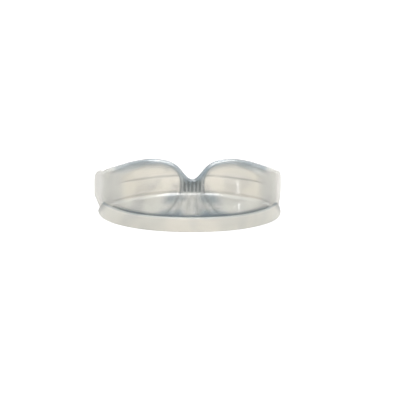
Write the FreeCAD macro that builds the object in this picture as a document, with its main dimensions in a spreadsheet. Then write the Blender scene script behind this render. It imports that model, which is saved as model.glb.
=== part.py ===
import FreeCAD, Part

import math
import os

import Sketcher

# Mouthguard for the upper teeth, moulded in bonded shots. Millimetres, +Z up, front towards -Y, with
# the origin on the underside, in the middle of the outline's width and depth.
#
#   outer_frame   clear outer wall: lip notch, two humps, four windows and an apron below them
#   front_bumper  firmer band along the foot of the frame, from premolar to premolar
#   fit_liner     soft channel that takes the teeth: lining, floor, tongue-side wall and grip ribs
#   bite_sole     firm U-shaped plate under the liner, which the lower teeth close on
#
# Every plan outline is the same arch, offset inwards from the bumper's face: a front arc, two corner
# arcs and two side lines that flare a little towards the back.

DRIVING = {
    # the arch
    "front_radius": 48.0,
    "corner_radius": 24.0,
    "front_angle": 17.0,  # half of the front arc, in degrees
    "side_angle": 82.0,  # the side lines' heading from the X axis, in degrees
    "arch_depth": 42.0,
    "arch_width": 15.0,  # from the bumper's face to the tongue edge
    "lean": 0.17,  # how far the walls lean back for each millimetre above the bumper
    # bumper
    "bumper_wall": 0.8,
    "bumper_top": 5.0,
    "bumper_back_top": -7.0,  # Y at which the band's upper edge ends
    "bumper_back_foot": -1.5,  # Y at which its lower edge ends
    # frame
    "frame_wall": 1.7,
    "frame_setback": 1.5,  # the frame stops short of the sole at the back
    "frame_top": 22.9,
    "notch_floor": 16.8,
    "notch_floor_half": 0.9,
    "notch_mouth_half": 6.7,
    "notch_round": 1.8,
    "hump_inner_round": 3.5,
    "hump_outer": 14.5,  # X at which a hump starts to fall
    "hump_outer_round": 14.0,
    "canine_x": 24.2,
    "canine_top": 20.4,
    "canine_round": 6.0,
    "cheek_x": 31.0,
    "cheek_top": 13.0,
    "cheek_round": 6.0,
    "side_front": -12.5,  # Y at which the side view's slope takes over from the front view's
    "side_front_top": 24.6,
    "side_middle": 1.0,
    "side_middle_top": 12.9,
    "side_round": 16.0,
    "side_back_top": 8.8,
    # windows, between arcs of one radius about the middle plane
    "window_radius": 74.0,
    "window_foot": 13.1,  # heights of the arcs on the middle plane
    "bar_foot": 17.5,
    "bar_top": 18.4,
    "window_top": 22.5,
    "window_inner": 3.7,
    "window_inner_bar": 4.4,
    "window_inner_top": 8.6,
    "window_outer": 22.2,
    # liner
    "sole_plate": 2.4,
    "liner_floor": 1.6,
    "lining_wall": 1.5,
    "rim_reveal": 1.0,  # the frame's rim stands this far above the lining
    "tongue_wall": 2.0,
    "tongue_top": 11.0,
    "tongue_front": -4.0,
    "tongue_back_top": 7.0,
    "rib_count": 7,
    "rib_pitch": 1.9,
    "rib_width": 0.9,
    "rib_proud": 0.8,
    "rib_root": 0.6,  # how far a rib reaches back into the lining
    "rib_height": 9.5,
    "liner_end_round": 0.8,
    # sole
    "sole_end_round": 5.0,
    "sole_outer_round": 1.5,
    "groove_first": 1.5,  # Y of the foremost groove under each arm
    "groove_width": 1.2,
    "groove_depth": 0.4,
    "groove_pitch": 2.8,
    "groove_count": 7,
}

CLEAR = 40.0  # half the size of the space that a cutting outline reaches over
TONGUE_CUT = 42.0  # width about the middle plane that holds the tongue wall but not the lining
FRAME_FACE = "sheet.bumper_wall"
LINING_FACE = f"{FRAME_FACE} + sheet.frame_wall"
CHANNEL_FACE = f"{LINING_FACE} + sheet.lining_wall"
TONGUE_EDGE = "sheet.arch_width"
TONGUE_FACE = f"{TONGUE_EDGE} - sheet.tongue_wall"
WALL_RISE = "sheet.frame_top - sheet.bumper_top"
ARCH_END = "sheet.arch_depth / 2"
FRAME_END = f"{ARCH_END} - sheet.frame_setback"
ARC_CENTRE = "sheet.front_radius - sheet.arch_depth / 2"


def make_sheet(doc):
    """The spreadsheet that holds the driving dimensions, one alias a row."""
    table = doc.addObject("Spreadsheet::Sheet", "sheet")
    table.Label = "dimensions"
    for row, (alias, value) in enumerate(DRIVING.items(), start=1):
        table.set(f"A{row}", alias)
        table.set(f"B{row}", str(value))
        table.setAlias(f"B{row}", alias)
    doc.recompute()


def new_body(doc, label):
    body = doc.addObject("PartDesign::Body", label)
    body.Label = label
    body.Placement = FreeCAD.Placement()
    doc.recompute()
    return body


def origin_feature(body, role):
    return next(feature for feature in body.Origin.OriginFeatures if feature.Role == role)


def new_sketch(body, name, role="XY_Plane", height="0"):
    """A sketch on one of the body's origin planes, moved along the plane's normal."""
    sketch = body.newObject("Sketcher::SketchObject", name)
    sketch.AttachmentSupport = [(origin_feature(body, role), "")]
    sketch.MapMode = "FlatFace"
    sketch.setExpression("AttachmentOffset.Base.z", height)
    return sketch


def constrain(sketch, kind, *where, size=None):
    """Adds a constraint and, for a dimension, binds it to an expression on the sheet."""
    if size is None:
        sketch.addConstraint(Sketcher.Constraint(kind, *where))
        return
    value = sketch.evalExpression(size)
    value = value.getValueAs("rad").Value if kind == "Angle" else float(value)
    index = sketch.addConstraint(Sketcher.Constraint(kind, *where, value))
    name = f"dimension_{index}"
    sketch.renameConstraint(index, name)
    sketch.setExpression(f"Constraints.{name}", size)


def arch_chain(sketch, inset, end):
    """The arch at one inset, as five tangent pieces. Returns the right and the left side line."""
    value = sketch.evalExpression
    turn = math.radians(value("sheet.front_angle"))
    heading = math.radians(value("sheet.side_angle"))
    front_radius = value(f"sheet.front_radius - ({inset})")
    corner_radius = value(f"sheet.corner_radius - ({inset})")
    step = front_radius - corner_radius
    down, normal = 1.5 * math.pi, FreeCAD.Vector(0, 0, 1)
    middle = FreeCAD.Vector(0, value(ARC_CENTRE), 0)

    circle = Part.Circle(middle, normal, front_radius)
    front = sketch.addGeometry(Part.ArcOfCircle(circle, down - turn, down + turn))
    constrain(sketch, "PointOnObject", front, 3, -2)
    constrain(sketch, "DistanceY", -1, 1, front, 3, size=ARC_CENTRE)
    constrain(sketch, "Radius", front, size=f"sheet.front_radius - ({inset})")
    reach = f"(sheet.front_radius - ({inset})) * sin(sheet.front_angle * 1 deg)"
    constrain(sketch, "DistanceX", -1, 1, front, 2, size=reach)
    constrain(sketch, "DistanceX", front, 1, -1, 1, size=reach)

    lines = []
    for side in (1, -1):
        centre = middle + FreeCAD.Vector(side * math.sin(turn), -math.cos(turn), 0) * step
        angles = (down + turn, down + heading) if side > 0 else (down - heading, down - turn)
        circle = Part.Circle(centre, normal, corner_radius)
        corner = sketch.addGeometry(Part.ArcOfCircle(circle, *angles))
        outwards = FreeCAD.Vector(side * math.sin(heading), -math.cos(heading), 0)
        start = centre + outwards * corner_radius
        run = (value(end) - start.y) / math.sin(heading)
        stop = start + FreeCAD.Vector(side * math.cos(heading), math.sin(heading), 0) * run
        line = sketch.addGeometry(Part.LineSegment(start, stop))
        near, far = (1, 2) if side > 0 else (2, 1)
        constrain(sketch, "Tangent", front, far, corner, near)
        constrain(sketch, "Tangent", corner, far, line, 1)
        constrain(sketch, "Radius", corner, size=f"sheet.corner_radius - ({inset})")
        slant = "sheet.side_angle" if side > 0 else "(180 - sheet.side_angle)"
        constrain(sketch, "Angle", line, size=f"{slant} * 1 deg")
        constrain(sketch, "DistanceY", -1, 1, line, 2, size=end)
        lines.append(line)
    return lines


def arch_ring(body, name, outer, inner, end=ARCH_END, height="0"):
    """A closed U between two insets of the arch, cut off square at the back."""
    sketch = new_sketch(body, name, height=height)
    for far, near in zip(arch_chain(sketch, outer, end), arch_chain(sketch, inner, end)):
        cap = sketch.addGeometry(Part.LineSegment(sketch.getPoint(far, 2), sketch.getPoint(near, 2)))
        constrain(sketch, "Coincident", far, 2, cap, 1)
        constrain(sketch, "Coincident", cap, 2, near, 2)
    body.Document.recompute()
    return sketch


def rounded_outline(body, name, role, corners):
    """A closed outline through corners of (across, up, radius), each an expression or a number. The
    corners are construction lines' ends, and the outline follows the lines with rounded turns."""
    sketch = new_sketch(body, name, role)
    value = sketch.evalExpression
    spots = [FreeCAD.Vector(float(value(str(x))), float(value(str(z))), 0) for x, z, _ in corners]
    radii = [float(value(str(radius))) for _, _, radius in corners]
    count = len(spots)
    ways = [(spots[(i + 1) % count] - spots[i]).normalize() for i in range(count)]

    guides = []
    for i, spot in enumerate(spots):
        line = Part.LineSegment(spot, spots[(i + 1) % count])
        guides.append(sketch.addGeometry(line, True))
    for i, (x, z, _) in enumerate(corners):
        constrain(sketch, "Coincident", guides[i - 1], 2, guides[i], 1)
        constrain(sketch, "DistanceX", -1, 1, guides[i], 1, size=str(x))
        constrain(sketch, "DistanceY", -1, 1, guides[i], 1, size=str(z))

    back_offs = []
    for i, radius in enumerate(radii):
        turn = ways[i - 1].getAngle(ways[i])
        back_offs.append(radius * math.tan(turn / 2))
    edges = []
    for i, way in enumerate(ways):
        start = spots[i] + way * back_offs[i]
        stop = spots[(i + 1) % count] - way * back_offs[(i + 1) % count]
        edges.append(sketch.addGeometry(Part.LineSegment(start, stop)))
    for i, radius in enumerate(radii):
        before, after = edges[i - 1], edges[i]
        if not radius:
            constrain(sketch, "Coincident", before, 2, after, 1)
            constrain(sketch, "Coincident", after, 1, guides[i], 1)
            continue
        left_turn = ways[i - 1].cross(ways[i]).z > 0
        leave, arrive = sketch.getPoint(before, 2), sketch.getPoint(after, 1)
        inwards = (ways[i] - ways[i - 1]).normalize()
        turn = ways[i - 1].getAngle(ways[i])
        middle = spots[i] + inwards * (radius / math.cos(turn / 2) - radius)
        arc = sketch.addGeometry(Part.Arc(leave, middle, arrive))
        first, last = (1, 2) if left_turn else (2, 1)
        constrain(sketch, "Tangent", before, 2, arc, first)
        constrain(sketch, "Tangent", arc, last, after, 1)
        constrain(sketch, "Radius", arc, size=str(corners[i][2]))
        constrain(sketch, "PointOnObject", before, 2, guides[i - 1])
        constrain(sketch, "PointOnObject", after, 1, guides[i])
    body.Document.recompute()
    return sketch


def pad(body, sketch, height, leaning=False):
    """Raises a solid from a sketch to a height above it, leaning back towards +Y if asked."""
    feature = body.newObject("PartDesign::Pad", f"{sketch.Name}_pad")
    feature.Profile = sketch
    feature.setExpression("Length", height)
    if leaning:
        feature.UseCustomVector = True
        feature.AlongSketchNormal = True
        feature.setExpression("Direction.x", "0")
        feature.setExpression("Direction.y", "sheet.lean")
        feature.setExpression("Direction.z", "1")
    body.Document.recompute()
    return feature


def pocket(body, sketch, length, reverse=False, both_sides=False):
    """Cuts the outline out of the body and makes sure that the cut took something away."""
    before = body.Shape.Volume
    feature = body.newObject("PartDesign::Pocket", f"{sketch.Name}_cut")
    feature.Profile = sketch
    feature.setExpression("Length", str(length))
    feature.Reversed = reverse
    if both_sides:
        feature.SideType = "Symmetric"
    body.Document.recompute()
    if body.Shape.Volume > before - 0.01:
        raise RuntimeError(f"{feature.Name} cut nothing")
    return feature


def repeat(body, feature, role, pitch, count):
    """A row of copies of one feature along an origin axis."""
    row = body.newObject("PartDesign::LinearPattern", f"{feature.Name}_row")
    row.Originals = [feature]
    row.Direction = (origin_feature(body, role), [""])
    row.Mode = "Spacing"
    row.setExpression("Offset", pitch)
    row.setExpression("Occurrences", count)
    body.Tip = row
    body.Document.recompute()
    return row


def rectangle(body, name, height, across, along):
    """A rectangle on a level plane, from its two X limits and its two Y limits."""
    sketch = new_sketch(body, name, height=height)
    value = sketch.evalExpression
    left, right = (float(value(str(x))) for x in across)
    front, back = (float(value(str(y))) for y in along)
    spots = [(left, front), (right, front), (right, back), (left, back)]
    corners = [FreeCAD.Vector(x, y, 0) for x, y in spots]
    lines = []
    for i, corner in enumerate(corners):
        lines.append(sketch.addGeometry(Part.LineSegment(corner, corners[(i + 1) % 4])))
    for i, line in enumerate(lines):
        constrain(sketch, "Coincident", lines[i - 1], 2, line, 1)
        constrain(sketch, "Vertical" if i % 2 else "Horizontal", line)
    for line, limits in ((lines[0], across), (lines[2], reversed(across))):
        constrain(sketch, "DistanceX", -1, 1, line, 1, size=str(next(iter(limits))))
    for line, limits in ((lines[0], along), (lines[2], reversed(along))):
        constrain(sketch, "DistanceY", -1, 1, line, 1, size=str(next(iter(limits))))
    body.Document.recompute()
    return sketch


def round_corners(body, name, radius, x_least, x_most):
    """Rounds the upright corners at the back of both arms, between two distances from the middle."""
    upright = {}
    for number, edge in enumerate(body.Shape.Edges, start=1):
        box = edge.BoundBox
        straight = max(box.XLength, box.YLength) < 1e-3 and box.ZLength > 1.0
        if straight and x_least < abs(box.Center.x) < x_most:
            upright[f"Edge{number}"] = box.YMax
    names = [name for name, back in upright.items() if max(upright.values()) - back < 1e-3]
    rounded = body.Tip
    feature = body.newObject("PartDesign::Fillet", name)
    feature.Base = (rounded, names)
    feature.setExpression("Radius", radius)
    body.Document.recompute()


def top_line(body, name, lower_by="0"):
    """Front view of what stands over the wall: the notch, the two humps and the fall to the cheeks."""
    half = [
        ("sheet.notch_floor_half", "sheet.notch_floor", "sheet.notch_round"),
        ("sheet.notch_mouth_half", "sheet.frame_top", "sheet.hump_inner_round"),
        ("sheet.hump_outer", "sheet.frame_top", "sheet.hump_outer_round"),
        ("sheet.canine_x", "sheet.canine_top", "sheet.canine_round"),
        ("sheet.cheek_x", "sheet.cheek_top", "sheet.cheek_round"),
        (CLEAR, "sheet.cheek_top", 0),
    ]
    right = [(x, f"{z} - {lower_by}", radius) for x, z, radius in half] + [(CLEAR, CLEAR, 0)]
    left = [(f"-{x}", z, radius) for x, z, radius in reversed(right)]
    return rounded_outline(body, name, "XZ_Plane", right + left)


def side_line(body, name, lower_by="0"):
    """Side view of what stands over the arms, which fall away towards the back."""
    corners = [
        ("sheet.side_front", "sheet.side_front_top", 0),
        ("sheet.side_middle", "sheet.side_middle_top", "sheet.side_round"),
        (ARCH_END, "sheet.side_back_top", 0),
        (CLEAR, "sheet.side_back_top", 0),
        (CLEAR, CLEAR, 0),
        ("sheet.side_front", CLEAR, 0),
    ]
    lowered = [(y, z if z == CLEAR else f"{z} - {lower_by}", radius) for y, z, radius in corners]
    return rounded_outline(body, name, "YZ_Plane", lowered)


def trim_top(body, lower_by="0"):
    """Shapes the upper edge of a wall, first in front view, then in side view."""
    front = top_line(body, f"{body.Name}_top_line", lower_by)
    pocket(body, front, 2 * CLEAR, both_sides=True)
    side = side_line(body, f"{body.Name}_side_line", lower_by)
    pocket(body, side, 2 * CLEAR, both_sides=True)


def window_outline(sketch, side, foot, top, inner_foot, inner_top):
    """One window: two arcs about the middle plane and the two straight edges that join them."""
    value = sketch.evalExpression
    radius = value("sheet.window_radius")
    outer = "sheet.window_outer"
    arcs = []
    for height, inner in ((foot, inner_foot), (top, inner_top)):
        centre = FreeCAD.Vector(0, value(height) - radius, 0)
        angles = sorted(
            math.pi / 2 - side * math.asin(value(reach) / radius) for reach in (inner, outer)
        )
        circle = Part.Circle(centre, FreeCAD.Vector(0, 0, 1), radius)
        arc = sketch.addGeometry(Part.ArcOfCircle(circle, *angles))
        constrain(sketch, "PointOnObject", arc, 3, -2)
        constrain(sketch, "Radius", arc, size="sheet.window_radius")
        constrain(sketch, "DistanceY", -1, 1, arc, 3, size=f"{height} - sheet.window_radius")
        near, far = (2, 1) if side > 0 else (1, 2)
        for end, reach in ((near, inner), (far, outer)):
            ends = (-1, 1, arc, end) if side > 0 else (arc, end, -1, 1)
            constrain(sketch, "DistanceX", *ends, size=reach)
        arcs.append((arc, near, far))
    (lower, low_near, low_far), (upper, up_near, up_far) = arcs
    for low_end, up_end in ((low_near, up_near), (low_far, up_far)):
        ends = sketch.getPoint(lower, low_end), sketch.getPoint(upper, up_end)
        edge = sketch.addGeometry(Part.LineSegment(*ends))
        constrain(sketch, "Coincident", lower, low_end, edge, 1)
        constrain(sketch, "Coincident", edge, 2, upper, up_end)


def make_outer_frame(doc):
    body = new_body(doc, "outer_frame")
    foot = arch_ring(body, "frame_foot_plan", FRAME_FACE, LINING_FACE, FRAME_END)
    pad(body, foot, "sheet.bumper_top")
    wall = arch_ring(
        body, "frame_wall_plan", FRAME_FACE, LINING_FACE, FRAME_END, height="sheet.bumper_top"
    )
    pad(body, wall, WALL_RISE, leaning=True)
    trim_top(body)
    windows = new_sketch(body, "windows", "XZ_Plane")
    for side in (1, -1):
        window_outline(
            windows, side,
            "sheet.window_foot", "sheet.bar_foot",
            "sheet.window_inner", "sheet.window_inner_bar",
        )
        window_outline(
            windows, side,
            "sheet.bar_top", "sheet.window_top",
            "sheet.window_inner_bar", "sheet.window_inner_top",
        )
    doc.recompute()
    pocket(body, windows, CLEAR, reverse=True)
    return body


def make_front_bumper(doc):
    body = new_body(doc, "front_bumper")
    band = arch_ring(body, "band_plan", "0", FRAME_FACE)
    pad(body, band, "sheet.bumper_top")
    corners = [
        ("sheet.bumper_back_foot", 0, 0),
        (CLEAR, 0, 0),
        (CLEAR, CLEAR, 0),
        ("sheet.bumper_back_top", CLEAR, 0),
        ("sheet.bumper_back_top", "sheet.bumper_top", 0),
    ]
    ends = rounded_outline(body, "band_ends", "YZ_Plane", corners)
    pocket(body, ends, 2 * CLEAR, both_sides=True)
    return body


def make_fit_liner(doc):
    body = new_body(doc, "fit_liner")
    foot = arch_ring(
        body, "lining_foot_plan", LINING_FACE, CHANNEL_FACE, FRAME_END, height="sheet.sole_plate"
    )
    pad(body, foot, "sheet.bumper_top - sheet.sole_plate")
    lining = arch_ring(
        body, "lining_plan", LINING_FACE, CHANNEL_FACE, FRAME_END, height="sheet.bumper_top"
    )
    pad(body, lining, WALL_RISE, leaning=True)
    trim_top(body, "sheet.rim_reveal")

    tongue = arch_ring(
        body, "tongue_wall_plan", TONGUE_FACE, TONGUE_EDGE, FRAME_END, height="sheet.sole_plate"
    )
    floor = arch_ring(
        body, "floor_plan", LINING_FACE, TONGUE_EDGE, FRAME_END, height="sheet.sole_plate"
    )
    pad(body, floor, "sheet.liner_floor")
    pad(body, tongue, "sheet.tongue_top - sheet.sole_plate")
    corners = [
        ("sheet.tongue_front", "sheet.tongue_top", 0),
        (ARCH_END, "sheet.tongue_back_top", 0),
        (CLEAR, "sheet.tongue_back_top", 0),
        (CLEAR, CLEAR, 0),
        ("sheet.tongue_front", CLEAR, 0),
    ]
    slope = rounded_outline(body, "tongue_wall_slope", "YZ_Plane", corners)
    pocket(body, slope, TONGUE_CUT, both_sides=True)

    first = "sheet.rib_pitch * (sheet.rib_count - 1) / 2"
    face = f"{ARC_CENTRE} - sheet.front_radius + {CHANNEL_FACE}"
    rib = rectangle(
        body, "grip_rib", "sheet.bumper_top",
        (f"-({first}) - sheet.rib_width / 2", f"-({first}) + sheet.rib_width / 2"),
        (f"{face} - sheet.rib_root", f"{face} + sheet.rib_proud"),
    )
    upright = pad(body, rib, "sheet.rib_height", leaning=True)
    repeat(body, upright, "X_Axis", "sheet.rib_pitch", "sheet.rib_count")
    round_corners(body, "liner_end", "sheet.liner_end_round", 0, TONGUE_CUT / 2)
    return body


def make_bite_sole(doc):
    body = new_body(doc, "bite_sole")
    plate = arch_ring(body, "sole_plan", LINING_FACE, TONGUE_EDGE)
    pad(body, plate, "sheet.sole_plate")
    round_corners(body, "tongue_side", "sheet.sole_end_round", 0, TONGUE_CUT / 2)
    round_corners(body, "cheek_side", "sheet.sole_outer_round", TONGUE_CUT / 2, CLEAR)
    groove = rectangle(
        body, "grip_groove", "0",
        (-CLEAR, CLEAR),
        ("sheet.groove_first", "sheet.groove_first + sheet.groove_width"),
    )
    cut = pocket(body, groove, "sheet.groove_depth", reverse=True)
    repeat(body, cut, "Y_Axis", "sheet.groove_pitch", "sheet.groove_count")
    return body


def check(doc, bodies):
    """Stops before anything is written if an object failed or a shape isn't one sound solid."""
    for thing in doc.Objects:
        if {"Invalid", "Error"} & set(thing.State):
            raise RuntimeError(f"{thing.Name} failed: {thing.State}")
    for body in bodies:
        shape = body.Shape
        if shape.isNull() or not shape.isValid() or len(shape.Solids) != 1:
            raise RuntimeError(f"{body.Label} isn't one valid solid")
        box = shape.BoundBox
        print(
            f"{body.Label}: {shape.Volume:.0f} mm3,"
            f" {box.XLength:.1f} x {box.YLength:.1f} x {box.ZLength:.1f} mm"
        )


def main():
    doc = FreeCAD.newDocument("mouthguard")
    make_sheet(doc)
    makers = (make_outer_frame, make_front_bumper, make_fit_liner, make_bite_sole)
    bodies = [make(doc) for make in makers]
    doc.recompute()
    check(doc, bodies)
    os.makedirs("parts", exist_ok=True)
    for body in bodies:
        body.Shape.exportStep(os.path.join("parts", f"{body.Label}.step"))


main()
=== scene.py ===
import math

import bmesh
import bpy
from mathutils import Matrix, Vector


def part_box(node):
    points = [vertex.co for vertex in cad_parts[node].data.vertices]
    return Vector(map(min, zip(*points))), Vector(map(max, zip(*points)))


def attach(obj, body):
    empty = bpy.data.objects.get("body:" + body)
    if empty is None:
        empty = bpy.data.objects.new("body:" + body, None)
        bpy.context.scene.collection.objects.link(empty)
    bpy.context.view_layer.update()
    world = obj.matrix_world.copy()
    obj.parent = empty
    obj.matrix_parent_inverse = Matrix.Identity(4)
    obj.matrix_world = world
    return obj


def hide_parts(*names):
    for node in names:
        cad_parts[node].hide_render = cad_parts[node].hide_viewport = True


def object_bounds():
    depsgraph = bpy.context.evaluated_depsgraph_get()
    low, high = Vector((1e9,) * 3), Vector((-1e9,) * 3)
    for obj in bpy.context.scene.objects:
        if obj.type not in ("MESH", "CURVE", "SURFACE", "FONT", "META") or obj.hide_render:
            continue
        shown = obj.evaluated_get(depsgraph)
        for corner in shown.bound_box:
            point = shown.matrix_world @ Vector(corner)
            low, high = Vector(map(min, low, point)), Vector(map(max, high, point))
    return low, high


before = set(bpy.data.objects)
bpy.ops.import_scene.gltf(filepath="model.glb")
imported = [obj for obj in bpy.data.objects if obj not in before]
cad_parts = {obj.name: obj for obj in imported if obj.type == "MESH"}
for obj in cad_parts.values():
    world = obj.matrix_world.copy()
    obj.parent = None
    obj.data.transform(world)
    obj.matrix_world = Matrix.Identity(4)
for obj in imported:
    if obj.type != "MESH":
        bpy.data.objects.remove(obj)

# A clear mouthguard for the upper teeth: outer wall, front bumper, fitting liner and sole. Metres, +Z
# up, lips towards -Y. Lengths inside the arch and section functions are millimetres, as a mould drawing
# would give them, and become metres where a point is placed.

MM = 0.001
CAD_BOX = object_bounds()


def smooth(value, start, end):
    """0 before start, 1 after end, and an even S between them."""
    part = min(max((value - start) / (end - start), 0.0), 1.0)
    return part * part * (3.0 - 2.0 * part)


def bell(value, centre, half_width):
    """1 at the centre, 0 at half_width on either side."""
    return 1.0 - smooth(abs(value - centre), 0.0, half_width)


def mix(low, high, share):
    """low at a share of 0, high at a share of 1."""
    return low + (high - low) * share


def through(stations):
    """A smooth function through (place, value) stations. The slope at each is taken from its
    neighbours."""
    places = [place for place, _ in stations]
    values = [value for _, value in stations]
    last = len(stations) - 1
    slopes = []
    for i in range(last + 1):
        a, b = max(i - 1, 0), min(i + 1, last)
        slopes.append((values[b] - values[a]) / (places[b] - places[a]))

    def curve(place):
        place = min(max(place, places[0]), places[last])
        i = 0
        while i < last - 1 and place > places[i + 1]:
            i += 1
        run = places[i + 1] - places[i]
        t = (place - places[i]) / run
        rise = values[i + 1] - values[i]
        a = slopes[i] * run - rise
        b = rise - slopes[i + 1] * run
        return values[i] + rise * t + t * (1 - t) * (a * (1 - t) + b * t)

    return curve


# ---------------------------------------------------------------------------------------------- arch


class Arch:
    """The plan outline, walked from the middle of the front to the end of an arm. A place on it is a
    distance along it, negative on the left, and an inset towards the tongue."""

    FRONT_RADIUS = 48.0
    CORNER_RADIUS = 24.0
    FRONT_TURN = math.radians(17.0)
    SIDE_HEADING = math.radians(82.0)
    BLEND = 6.0  # length over which one curvature turns into the next
    STEP = 0.25
    LEAN = 0.17  # how far the walls lean back for each millimetre above the bumper
    UPPER_LEAN = 0.12  # and how much more above UPPER_FROM
    UPPER_FROM = 17.0
    LEAN_DROP = 0.3  # how far a point comes down for each millimetre that it leans back
    SQUARED = 16.0  # length over which the arms turn square to their ends

    def __init__(self):
        self.corner = self.FRONT_RADIUS * self.FRONT_TURN
        self.side = self.corner + self.CORNER_RADIUS * (self.SIDE_HEADING - self.FRONT_TURN)
        back = CAD_BOX[1][1] / MM
        x, y, heading = 0.0, CAD_BOX[0][1] / MM, 0.0
        self.walk = [(x, y, heading)]
        while y < back:
            distance = len(self.walk) * self.STEP
            heading += self.curvature(distance - self.STEP / 2) * self.STEP
            x += math.cos(heading) * self.STEP
            y += math.sin(heading) * self.STEP
            self.walk.append((x, y, heading))
        self.length = (len(self.walk) - 1) * self.STEP

    def curvature(self, distance):
        """The turn for each millimetre walked: a front arc, a corner arc and a straight side."""
        half = self.BLEND / 2
        front, corner = 1 / self.FRONT_RADIUS, 1 / self.CORNER_RADIUS
        turned = mix(front, corner, smooth(distance, self.corner - half, self.corner + half))
        return turned * (1 - smooth(distance, self.side - half, self.side + half))

    def at(self, distance, inset, height):
        """The point at a signed distance along the arch, an inset and a height, in metres. Everything
        above the bumper leans back, and more so near the top, and the arms are cut off square."""
        place = min(abs(distance) / self.STEP, len(self.walk) - 1.001)
        i = int(place)
        share = place - i
        x, y, heading = (mix(a, b, share) for a, b in zip(self.walk[i], self.walk[i + 1]))
        lean = self.LEAN * max(height - BUMPER_TOP, 0.0)
        lean += self.UPPER_LEAN * max(height - self.UPPER_FROM, 0.0)
        past = max(abs(distance) - self.length, 0.0)
        x += math.cos(heading) * past - math.sin(heading) * inset
        square = smooth(abs(distance), self.length - self.SQUARED, self.length)
        y += math.sin(heading) * past + math.cos(heading) * inset * (1 - square)
        across = math.copysign(1.0, distance) * x
        return Vector((across, y + lean, height - lean * self.LEAN_DROP)) * MM


BUMPER_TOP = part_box("front_bumper")[1].z / MM
ARCH = Arch()
END = ARCH.length

# ------------------------------------------------------------------------------------ moulded outlines

FRAME_FACE = 0.8  # inset of the outer wall's face from the bumper's
FRAME_BACK = 2.6  # inset of its inner face

# The rim's height from the floor of the notch, over a hump and down to the end of an arm.
rim_line = through([
    (0, 17.5), (1.4, 18.1), (3.0, 19.7), (4.8, 21.7), (7.2, 23.2), (10.5, 23.95), (15, 23.95),
    (19, 23.1), (23, 21.9), (27, 20.4), (31, 18.9), (36, 17.0), (41, 15.0), (46, 13.2), (51, 12.2),
    (56, 10.5), (60, 8.6), (64, 7.4),
])


def rim_height(distance):
    return rim_line(abs(distance))


def rim_slope(distance):
    reach = 0.3  # half the length that the slope is taken over
    return (rim_height(distance + reach) - rim_height(distance - reach)) / (2 * reach)


def sagging(crown, radius):
    """A line that is highest on the middle plane and falls away as an arc does."""
    return lambda distance: crown - distance * distance / (2 * radius)


apron_line = sagging(12.5, 66.0)
window_foot = sagging(13.6, 72.0)
terrace_line = sagging(18.4, 76.0)


def window_share(distance, height):
    """1 inside a window's recess, 0 on the rim, the notch pillar and the cheeks."""
    reach = abs(distance)
    rim = (1.7 + 2.4 * smooth(reach, 11.0, 27.0)) * math.sqrt(1 + rim_slope(distance) ** 2)
    inner = 3.3 + 0.055 * (height - 15.6) ** 2
    share = smooth(reach, inner, inner + 1.3) * (1 - smooth(reach, 24.5, 29.5))
    return share * (1 - smooth(height, rim_height(distance) - rim, rim_height(distance) - rim + 1.1))


def apron_share(distance, height):
    """1 on and below the apron, 0 above its shoulder."""
    top = apron_line(distance)
    return 1 - smooth(height, top, top + 1.1)


def notch_flute(distance, height):
    """Depth share of the upright flutes in the saddle under the notch."""
    fan = 1.0 + 0.02 * (height - 15.0)
    wave = 0.5 - 0.5 * math.cos(2 * math.pi * distance / (1.32 * fan) + math.pi)
    mask = (1 - smooth(abs(distance), 2.6, 3.8)) * smooth(height, 13.2, 14.0)
    return wave * mask * (1 - smooth(height, 16.6, 17.4))


def apron_flute(distance, height):
    """Depth share of the fanned flutes in the middle of the apron."""
    fan = 0.55 + 0.075 * (12.5 - height)
    wave = 0.5 - 0.5 * math.cos(2 * math.pi * distance / (3.4 * fan))
    mask = (1 - smooth(abs(distance), 7.5, 11.5)) * smooth(height, 5.2, 6.4)
    return wave * mask * (1 - smooth(height, 11.0, 12.2))


def cheek_share(distance):
    """0 over the front teeth, 1 along the cheeks."""
    return smooth(abs(distance), 27.0, 34.0)


def frame_recess(distance, height):
    """How far the outer wall's face lies behind its proudest level."""
    front = 1 - cheek_share(distance)
    above_apron = 1 - apron_share(distance, height)
    window = window_share(distance, height)
    terrace = smooth(height, terrace_line(distance), terrace_line(distance) + 0.6)
    depth = 0.45 * above_apron * front
    depth += window * (0.45 + 0.4 * terrace) * above_apron
    depth += 0.35 * notch_flute(distance, height) + 0.45 * apron_flute(distance, height)
    depth -= 0.3 * bell(height, apron_line(distance) - 0.1, 0.8) * front
    return depth


# --------------------------------------------------------------------------------------- mesh building

RING_PARTS = 24  # points on a section that its middle is found from


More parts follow.
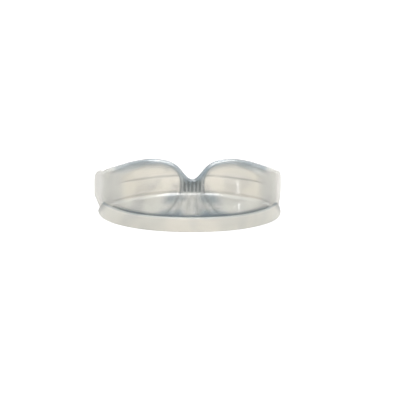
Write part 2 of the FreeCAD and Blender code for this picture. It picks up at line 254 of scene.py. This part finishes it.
def swept_loop(name, section, reach, stations, around, paint, end_round=0.6):
    """A closed section swept along the arch, both ways from the middle. section(distance, share) gives
    the inset and height at a share of the way round, reach(height) the distance at which the piece
    ends, and paint(distance, inset, height) the tint. The last end_round narrows to a rounded end, and
    an end_round of 0 leaves the end square."""
    mesh = bmesh.new()
    bmesh.ops.create_grid(mesh, x_segments=stations, y_segments=around, size=1.0)
    tint = mesh.verts.layers.float_color.new("tint")
    centres = {}
    for vert in mesh.verts:
        along = vert.co.x
        distance = along * reach(BUMPER_TOP / 2)
        if along not in centres:
            ring = [section(distance, part / RING_PARTS) for part in range(RING_PARTS)]
            low, high = min(ring), max(ring)
            centres[along] = (low[0] + high[0]) / 2
        inset, height = section(distance, (vert.co.y + 1) / 2 % 1.0)
        if end_round:
            left = (1.0 - abs(along)) * reach(height) / end_round
            narrow = math.sqrt(max(1.0 - max(1.0 - left, 0.0) ** 2, 0.02))
            inset = mix(centres[along], inset, narrow)
        vert[tint] = (*paint(distance, inset, height), 1.0)
        vert.co = ARCH.at(along * reach(height), inset, height)
    bmesh.ops.remove_doubles(mesh, verts=mesh.verts, dist=1e-7)
    open_edges = [edge for edge in mesh.edges if edge.is_boundary]
    bmesh.ops.holes_fill(mesh, edges=open_edges, sides=0)
    bmesh.ops.triangulate(mesh, faces=[face for face in mesh.faces if len(face.verts) > 4])
    bmesh.ops.recalc_face_normals(mesh, faces=mesh.faces)
    return finished(mesh, name)


def finished(mesh, name):
    """An object made of a bmesh, with every face shaded smooth."""
    data = bpy.data.meshes.new(name)
    mesh.to_mesh(data)
    mesh.free()
    for polygon in data.polygons:
        polygon.use_smooth = True
    piece = bpy.data.objects.new(name, data)
    bpy.context.scene.collection.objects.link(piece)
    return piece


def fit(piece, material, node):
    """Puts a finished piece on the object, in place of its plain solid."""
    piece.data.materials.append(material)
    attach(piece, "root")
    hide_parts(node)


def rounded_bar(share, inner, outer, foot, top, round_foot, round_top):
    """A point on an upright bar's section, from the outer foot up, over the top and down the back."""
    spans = [("front", 0.00, 0.44), ("crown", 0.44, 0.56), ("back", 0.56, 0.94), ("sole", 0.94, 1.0)]
    side, start, end = next(span for span in spans if share <= span[2])
    part = (share - start) / (end - start)
    half = (inner - outer) / 2
    middle = (inner + outer) / 2
    if side == "front":
        return outer, mix(foot + round_foot, top - round_top, part)
    if side == "back":
        return inner, mix(top - round_top, foot + round_foot, part)
    angle = math.pi * part
    if side == "crown":
        return middle - half * math.cos(angle), top - round_top + round_top * math.sin(angle)
    return middle + half * math.cos(angle), foot + round_foot - round_foot * math.sin(angle)


# ------------------------------------------------------------------------------------------- materials


REFLECTION_BLUE_GREY = (0.34, 0.44, 0.53)  # painted reflection: blue-grey standing for a darker surround mirrored and bent by the plastic
SHADOW = (0.20, 0.23, 0.24)  # where the plastic is seen edge-on


class Value:
    """A shader socket that maths can be written with."""

    def __init__(self, tree, socket):
        self.tree, self.socket = tree, socket

    def maths(self, operation, other, swap=False):
        first, second = (other, self) if swap else (self, other)
        return self.tree.node("ShaderNodeMath", {"operation": operation}, {0: first, 1: second})

    def __add__(self, other):
        return self.maths("ADD", other)

    def __mul__(self, other):
        return self.maths("MULTIPLY", other)

    def __sub__(self, other):
        return self.maths("SUBTRACT", other)

    def __rsub__(self, other):
        return self.maths("SUBTRACT", other, swap=True)

    __radd__ = __add__
    __rmul__ = __mul__


class Tree:
    """A material's nodes, each made by one call of node()."""

    def __init__(self, name):
        self.material = bpy.data.materials.new(name)
        self.material.use_nodes = True
        self.nodes = self.material.node_tree.nodes
        self.links = self.material.node_tree.links
        self.shader = self.nodes["Principled BSDF"]

    def node(self, kind, settings, inputs, output=0):
        made = self.nodes.new(kind)
        for name, setting in settings.items():
            setattr(made, name, setting)
        for name, value in inputs.items():
            self.feed(made.inputs[name], value)
        return Value(self, made.outputs[output])

    def feed(self, socket, value):
        if isinstance(value, Value):
            self.links.new(value.socket, socket)
        else:
            socket.default_value = value

    def noise(self, scale, detail, distortion=0.0):
        spot = self.node("ShaderNodeTexCoord", {}, {}, "Object")
        inputs = {"Vector": spot, "Scale": scale, "Detail": detail, "Distortion": distortion}
        return self.node("ShaderNodeTexNoise", {}, inputs, "Fac")

    def blend(self, share, low, high):
        settings = {"data_type": "RGBA"}
        inputs = {0: share, 6: (*low, 1.0) if isinstance(low, tuple) else low}
        inputs[7] = (*high, 1.0) if isinstance(high, tuple) else high
        return self.node("ShaderNodeMix", settings, inputs, 2)

    def bump(self, height, strength, distance):
        inputs = {"Height": height, "Strength": strength, "Distance": distance}
        self.feed(self.shader.inputs["Normal"], self.node("ShaderNodeBump", {}, inputs))

    def set(self, **values):
        for name, value in values.items():
            self.feed(self.shader.inputs[name.replace("_", " ")], value)


def clear_copolymer(name, cool, warm, haze, clearness):
    """Clear moulded plastic. In the mesh's tint, red is a painted warm glow where light comes through,
    green is painted shade and blue a painted blue-grey reflection, and a slow cloudiness runs through
    it all."""
    tree = Tree(name)
    tint = tree.node("ShaderNodeAttribute", {"attribute_name": "tint"}, {}, "Color")
    painted_glow = tree.node("ShaderNodeSeparateColor", {}, {"Color": tint}, "Red")
    shade = Value(tree, painted_glow.socket.node.outputs["Green"])
    painted_reflection = Value(tree, painted_glow.socket.node.outputs["Blue"])
    cloud = tree.noise(180.0, 3.0) - 0.5
    swirl = tree.noise(95.0, 1.0, distortion=1.2) - 0.5
    body = tree.blend(painted_glow + swirl * 1.3, cool, warm)
    body_and_reflection = tree.blend(painted_reflection + swirl * 0.7, body, REFLECTION_BLUE_GREY)
    tree.set(Base_Color=tree.blend(shade + cloud * 0.1, body_and_reflection, SHADOW), Roughness=cloud * 0.1 + haze)
    tree.shader.inputs["Transmission Weight"].default_value = clearness
    tree.shader.inputs["IOR"].default_value = 1.42
    tree.shader.inputs["Coat Weight"].default_value = 0.5
    tree.shader.inputs["Coat Roughness"].default_value = 0.06
    tree.bump(tree.noise(900.0, 2.0), 0.08, 0.0002)
    return tree.material


# ---------------------------------------------------------------------------------------------- pieces


def frame_section(distance, share):
    """The outer wall: a bar with a recessed face and a bead along its rim."""
    crown = rim_height(distance)
    bead = 0.35 * (1 - cheek_share(distance))
    inset, height = rounded_bar(share, FRAME_BACK, FRAME_FACE, 0.0, crown, 0.4, 0.85)
    if inset < (FRAME_BACK + FRAME_FACE) / 2:
        inset += frame_recess(distance, height)
    inset -= bead * bell(height, crown - 0.9, 1.2) * (1 if inset < 2 else -0.6)
    return inset, height


def frame_tint(distance, inset, height):
    """Painted warm glow in the windows, painted shade at every step of the wall, painted blue-grey
    reflection along the rim and over the foot.
    """
    front = 1 - cheek_share(distance)
    reach = abs(distance)
    share = window_share(distance, height)
    window = share * (1 - apron_share(distance, height))
    rim = front * smooth(height, rim_height(distance) - 4.0, rim_height(distance) - 1.0)
    root = bell(height, window_foot(distance), 0.7) * front
    terrace = bell(height, terrace_line(distance) + 0.5, 0.5) * window
    notch_edge = bell(share, 0.4, 0.4) * (1 - smooth(reach, 7.0, 10.0))
    foot = bell(height, BUMPER_TOP + 0.2, 0.7) * (1 - smooth(reach, 26.0, 33.0))
    pillar = (1 - smooth(reach, 3.6, 5.0)) * smooth(height, 13.0, 14.0)
    pillar *= 1 - smooth(height, 17.4, 18.4)
    arm = smooth(reach, 38.0, 46.0)
    # painted shade: on the rim, at the window feet and steps, along the notch, over the band's top, on
    # the pillar, towards the arms' edges and in the flutes
    shade = 0.04 * (1 - window) + 0.15 * rim + 0.25 * root + 0.45 * terrace
    shade += 0.55 * notch_edge + 0.5 * foot + 0.35 * pillar + 0.26 * arm
    shade += 0.9 * notch_flute(distance, height) + 0.12 * apron_flute(distance, height)
    # painted reflection: soft blue-grey patches among the apron flutes, and a little over the middle
    fan = 1 + 0.05 * (height - 8.0)
    patches = bell(reach * fan, 8.0, 5.0) * (bell(height, 5.8, 2.6) + bell(height, 11.0, 3.4))
    patches += bell(reach * fan, 4.0, 2.6) * (bell(height, 5.8, 2.4) + 0.6 * bell(height, 11.4, 2.0))
    middle = (1 - smooth(reach, 8.0, 14.0)) * (1 - window)
    painted_reflection = 0.6 * rim + 0.6 * patches + 0.9 * foot + 0.15 * middle
    # the window share is returned as the painted warm glow
    return window, min(shade, 1.0), min(painted_reflection, 1.0)


def wall_reach(height):
    """Distance along the arch at which the walls end, with the upper corner rounded off."""
    return END - 1.2 - 1.2 * smooth(height, 4.8, 7.8) ** 2


def outer_wall(material):
    wall = swept_loop("outer_wall", frame_section, wall_reach, 420, 150, frame_tint)
    fit(wall, material, "outer_frame")


def bumper_reach(height):
    """Distance along the arch at which the band ends, further back at its foot."""
    return mix(43.5, 36.5, height / BUMPER_TOP)


def bumper_section(distance, share):
    """The band, whose foot spreads a little near the corners."""
    inset, height = rounded_bar(share, FRAME_FACE + 0.5, 0.0, 0.0, BUMPER_TOP, 0.2, 0.4)
    spread = 0.8 * bell(abs(distance), 30.0, 13.0) * (1 - height / BUMPER_TOP)
    return inset - spread * (1 if inset < 0.6 else 0), height


def bumper_tint(distance, inset, height):
    """A painted warm glow in the middle, painted shade at the ends and along the top, and a little
    painted blue-grey reflection on the top.
    """
    centre = 1 - smooth(abs(distance), 5.0, 12.0)
    end = smooth(abs(distance), 34.0, 38.5)
    ledge = smooth(height, BUMPER_TOP - 0.45, BUMPER_TOP - 0.1)
    shade = 0.12 * (1 - centre) + 0.6 * end + 0.5 * ledge
    return 0.25 + 1.1 * centre, min(shade, 1.0), 0.15 * ledge


def front_band(material):
    band = swept_loop("front_band", bumper_section, bumper_reach, 300, 60, bumper_tint)
    fit(band, material, "front_bumper")


RIB_PITCH = 1.9
RIBS_EACH_SIDE = 3  # of the one in the middle
RIB_PROUD = 0.75


def grip_rib(distance):
    """Share of a rib's full depth: seven low ribs stand on the lining behind the notch."""
    rib = min(max(round(distance / RIB_PITCH), -RIBS_EACH_SIDE), RIBS_EACH_SIDE)
    nearest = rib * RIB_PITCH
    return 1 - smooth(abs(distance - nearest), 0.2, 0.5)


def part_of_lining(inset, height):
    """Whether a point lies on the face of the lining that the front teeth press on."""
    return 3.9 < inset < 4.2 and 5.4 < height < 15.0


def liner_tint(distance, inset, height):
    """Painted shade: a little darker where the floor turns up into the walls."""
    turn = bell(inset, 4.2, 1.0) + bell(inset, 13.0, 1.0)
    return 0.6, 0.25 * min(turn, 1.0) * bell(height, 4.4, 1.6), 0.0


def crown_of(outer, inner, top):
    """The rounded top of a wall, from its outer side over to its inner side."""
    middle, half, rise = (outer + inner) / 2, (inner - outer) / 2, 0.7
    turns = [math.radians(angle) for angle in (180, 144, 108, 72, 36, 0)]
    return [(middle + half * math.cos(turn), top - rise + rise * math.sin(turn)) for turn in turns]


LINER_CORNERS = 21  # corners of the section below


def liner_section(distance, share):
    """The channel's section: up the lining's outside, over it, down to the floor, over the tongue-side
    wall and back under."""
    crown = max(rim_height(distance) - 1.1, 7.4)
    tongue = mix(10.8, 7.2, smooth(abs(distance), 24.0, END))
    floor, foot = 4.1, 2.2
    legs = [(2.45, foot), *crown_of(2.45, 4.0, crown)]
    legs += [(4.0, mix(floor, crown, 0.6)), (4.0, floor + 1.2)]
    legs += [(4.5, floor + 0.2), (6.0, floor), (11.5, floor), (12.7, floor + 0.3), (13.1, floor + 1.2)]
    legs += [*crown_of(13.2, 14.8, tongue), (15.0, foot)]
    place = share * len(legs)
    i = int(place) % len(legs)
    (a, b), (c, d) = legs[i], legs[(i + 1) % len(legs)]
    part = place - int(place)
    inset, height = mix(a, c, part), mix(b, d, part)
    if part_of_lining(inset, height):
        inset += RIB_PROUD * grip_rib(distance)
    return inset, height


def fitting_liner(material):
    around = LINER_CORNERS * 5
    liner = swept_loop("fitting_liner", liner_section, wall_reach, 560, around, liner_tint, 0)
    fit(liner, material, "fit_liner")


FIRST_GROOVE = 2.1  # Y of the middle of the foremost groove
GROOVE_PITCH = 2.8
GROOVES = 7
GROOVE_DEPTH = 0.4


def grip_groove(distance, inset):
    """Share of a groove's full depth: seven grooves cross the underside of each arm."""
    back = ARCH.at(distance, inset, 0.0).y / MM - FIRST_GROOVE
    nearest = min(max(round(back / GROOVE_PITCH), 0), GROOVES - 1) * GROOVE_PITCH
    return 1 - smooth(abs(back - nearest), 0.45, 0.65)


def sole_section(distance, share):
    """The plate under the channel, with grooves across its underside."""
    inset, height = rounded_bar(share, 15.2, FRAME_BACK - 0.2, 0.0, 2.5, 0.6, 0.4)
    if height < 0.3:
        height += GROOVE_DEPTH * grip_groove(distance, inset)
    return inset, height


def sole_reach(height):
    return END


def sole_tint(distance, inset, height):
    return 0.6, 0.0, 0.0


def bite_plate(material):
    plate = swept_loop("bite_plate", sole_section, sole_reach, 720, 60, sole_tint, 3.0)
    fit(plate, material, "bite_sole")


# ------------------------------------------------------------------------------------ floor and lights


def studio_floor():
    """White paper that the camera sees as pure white, a little greyer in what the plastic reflects."""
    mesh = bmesh.new()
    bmesh.ops.create_grid(mesh, x_segments=1, y_segments=1, size=3.0)
    floor = finished(mesh, "studio_floor")
    tree = Tree("white_paper")
    seen = tree.node("ShaderNodeLightPath", {}, {}, "Is Camera Ray")
    glow = tree.blend(seen, (0.73, 0.71, 0.67), (1.0, 1.0, 1.0))
    tree.set(Base_Color=(0.1, 0.1, 0.1, 1.0), Roughness=1.0, Emission_Color=glow, Emission_Strength=1.0)
    floor.data.materials.append(tree.material)


def area_light(name, place, target, size, power):
    light = bpy.data.lights.new(name, "AREA")
    light.shape = "RECTANGLE"
    light.size, light.size_y = size
    light.energy = power
    lamp = bpy.data.objects.new(name, light)
    lamp.location = place
    lamp.rotation_euler = (Vector(target) - Vector(place)).to_track_quat("-Z", "Y").to_euler()
    bpy.context.scene.collection.objects.link(lamp)


def studio():
    """An even white room, a soft light above and a narrow one at the right."""
    world = bpy.data.worlds.new("white_studio")
    world.use_nodes = True
    background = world.node_tree.nodes["Background"]
    background.inputs["Color"].default_value = (1.0, 1.0, 1.0, 1.0)
    background.inputs["Strength"].default_value = 1.0
    bpy.context.scene.world = world
    area_light("overhead", (0.0, 0.05, 0.6), (0.0, 0.0, 0.0), (0.5, 0.5), 5.0)
    area_light("strip", (0.29, -0.28, 0.035), (0.015, -0.02, 0.012), (0.005, 0.07), 0.05)


def camera():
    """A long lens a little above the guard and slightly to its left."""
    elevation, azimuth, roll = math.radians(17.55), math.radians(-2.685), math.radians(0.847)
    distance, lens = 0.6, 160.2
    shift_right, shift_down = 0.00334, 0.00521
    target = Vector((0.0, 0.0, 0.010))
    back = Vector((
        math.sin(azimuth) * math.cos(elevation),
        -math.cos(azimuth) * math.cos(elevation),
        math.sin(elevation),
    ))
    level = (-back).cross(Vector((0, 0, 1))).normalized()
    upright = level.cross(-back)
    right = level * math.cos(roll) + upright * math.sin(roll)
    up = upright * math.cos(roll) - level * math.sin(roll)
    data = bpy.data.cameras.new("camera")
    data.lens = lens
    data.clip_start = 0.01
    eye = bpy.data.objects.new("camera", data)
    rows = [(right[i], up[i], back[i]) for i in range(3)]
    eye.matrix_world = Matrix(rows).to_4x4()
    eye.location = target + back * distance + right * shift_right - up * shift_down
    bpy.context.scene.collection.objects.link(eye)
    bpy.context.scene.camera = eye


def main():
    """Builds the four pieces, then the stage around them."""
    clear = clear_copolymer("clear_wall", (0.955, 0.96, 0.935), (1.0, 0.965, 0.895), 0.2, 0.75)
    hazy = clear_copolymer("hazy_band", (0.96, 0.95, 0.88), (1.0, 0.965, 0.88), 0.3, 0.4)
    gel = clear_copolymer("soft_gel", (0.98, 0.975, 0.94), (0.99, 0.97, 0.92), 0.25, 0.8)
    outer_wall(clear)
    front_band(hazy)
    fitting_liner(gel)
    bite_plate(hazy)
    studio_floor()
    studio()
    camera()
    bpy.context.scene.view_settings.view_transform = "Standard"


main()
